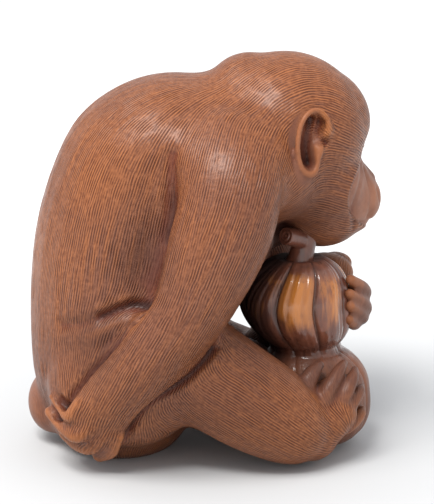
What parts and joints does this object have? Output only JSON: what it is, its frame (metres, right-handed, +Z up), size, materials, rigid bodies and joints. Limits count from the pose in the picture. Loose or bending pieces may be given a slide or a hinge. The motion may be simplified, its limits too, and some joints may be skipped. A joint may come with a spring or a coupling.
{
  "type": "okimono",
  "caption": "Boxwood okimono of a seated, hunched monkey in finely combed fur, clasping a ribbed double gourd between its feet and hand.",
  "frame": {"origin": "centre of the bounding box, on the plane that the figure sits on", "axes": "+X the way the monkey's body faces, +Y its left side, +Z up"},
  "size_m": [0.0892, 0.0766, 0.1],
  "materials": {
    "boxwood": "stained red-brown boxwood, finely engraved fur with a satin polish, smooth glossy gourd"
  },
  "bodies": {
    "root": {"monkey_with_gourd": "boxwood"}
  },
  "joints": []
}
